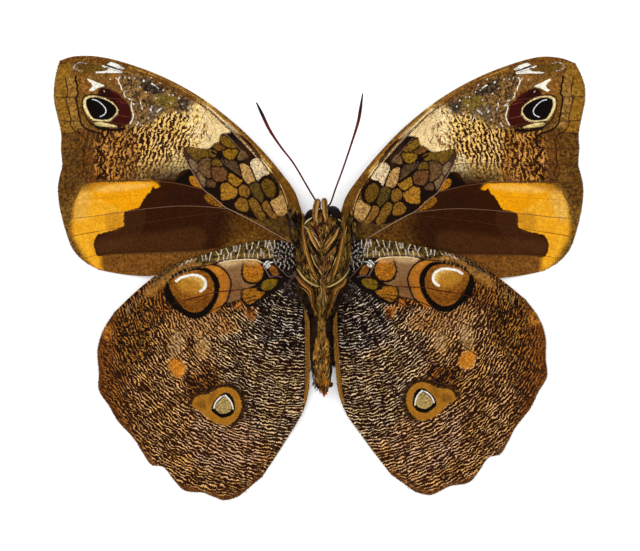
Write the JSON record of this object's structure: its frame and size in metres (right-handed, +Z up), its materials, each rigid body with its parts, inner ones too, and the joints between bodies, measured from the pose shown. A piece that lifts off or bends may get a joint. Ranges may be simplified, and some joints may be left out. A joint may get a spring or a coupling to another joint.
{
  "type": "spread butterfly specimen",
  "caption": "Set butterfly specimen lying on its back, underside up, with spread eyespotted wings, folded legs, palps and clubbed antennae.",
  "frame": {"origin": "on the surface that the specimen lies on, under the middle of its outline", "axes": "+X towards the right wings as seen from above, +Y towards the head, +Z up, out of the underside"},
  "size_m": [0.0844, 0.0705, 0.0082],
  "materials": {
    "wing_scales": "matte overlapping scales, brown with ochre, cream and black markings",
    "body_hair": "olive brown hair over a dark skin",
    "leg_scales": "ochre scales with cream edges",
    "palp_scales": "cream and tan fur",
    "antenna_skin": "dark red brown, slightly glossy",
    "eye_facets": "glossy near-black facets"
  },
  "bodies": {
    "root": {"head": "body_hair", "eye_left": "eye_facets", "eye_right": "eye_facets", "palp_left": "palp_scales", "palp_right": "palp_scales", "proboscis": "antenna_skin", "antenna_left": "antenna_skin", "antenna_right": "antenna_skin", "thorax": "body_hair", "abdomen": "body_hair", "foreleg_left": "leg_scales", "foreleg_right": "leg_scales", "midleg_left": "leg_scales", "midleg_right": "leg_scales", "hindleg_left": "leg_scales", "hindleg_right": "leg_scales", "forewing_left": "wing_scales", "forewing_right": "wing_scales", "hindwing_left": "wing_scales", "hindwing_right": "wing_scales"}
  },
  "joints": []
}
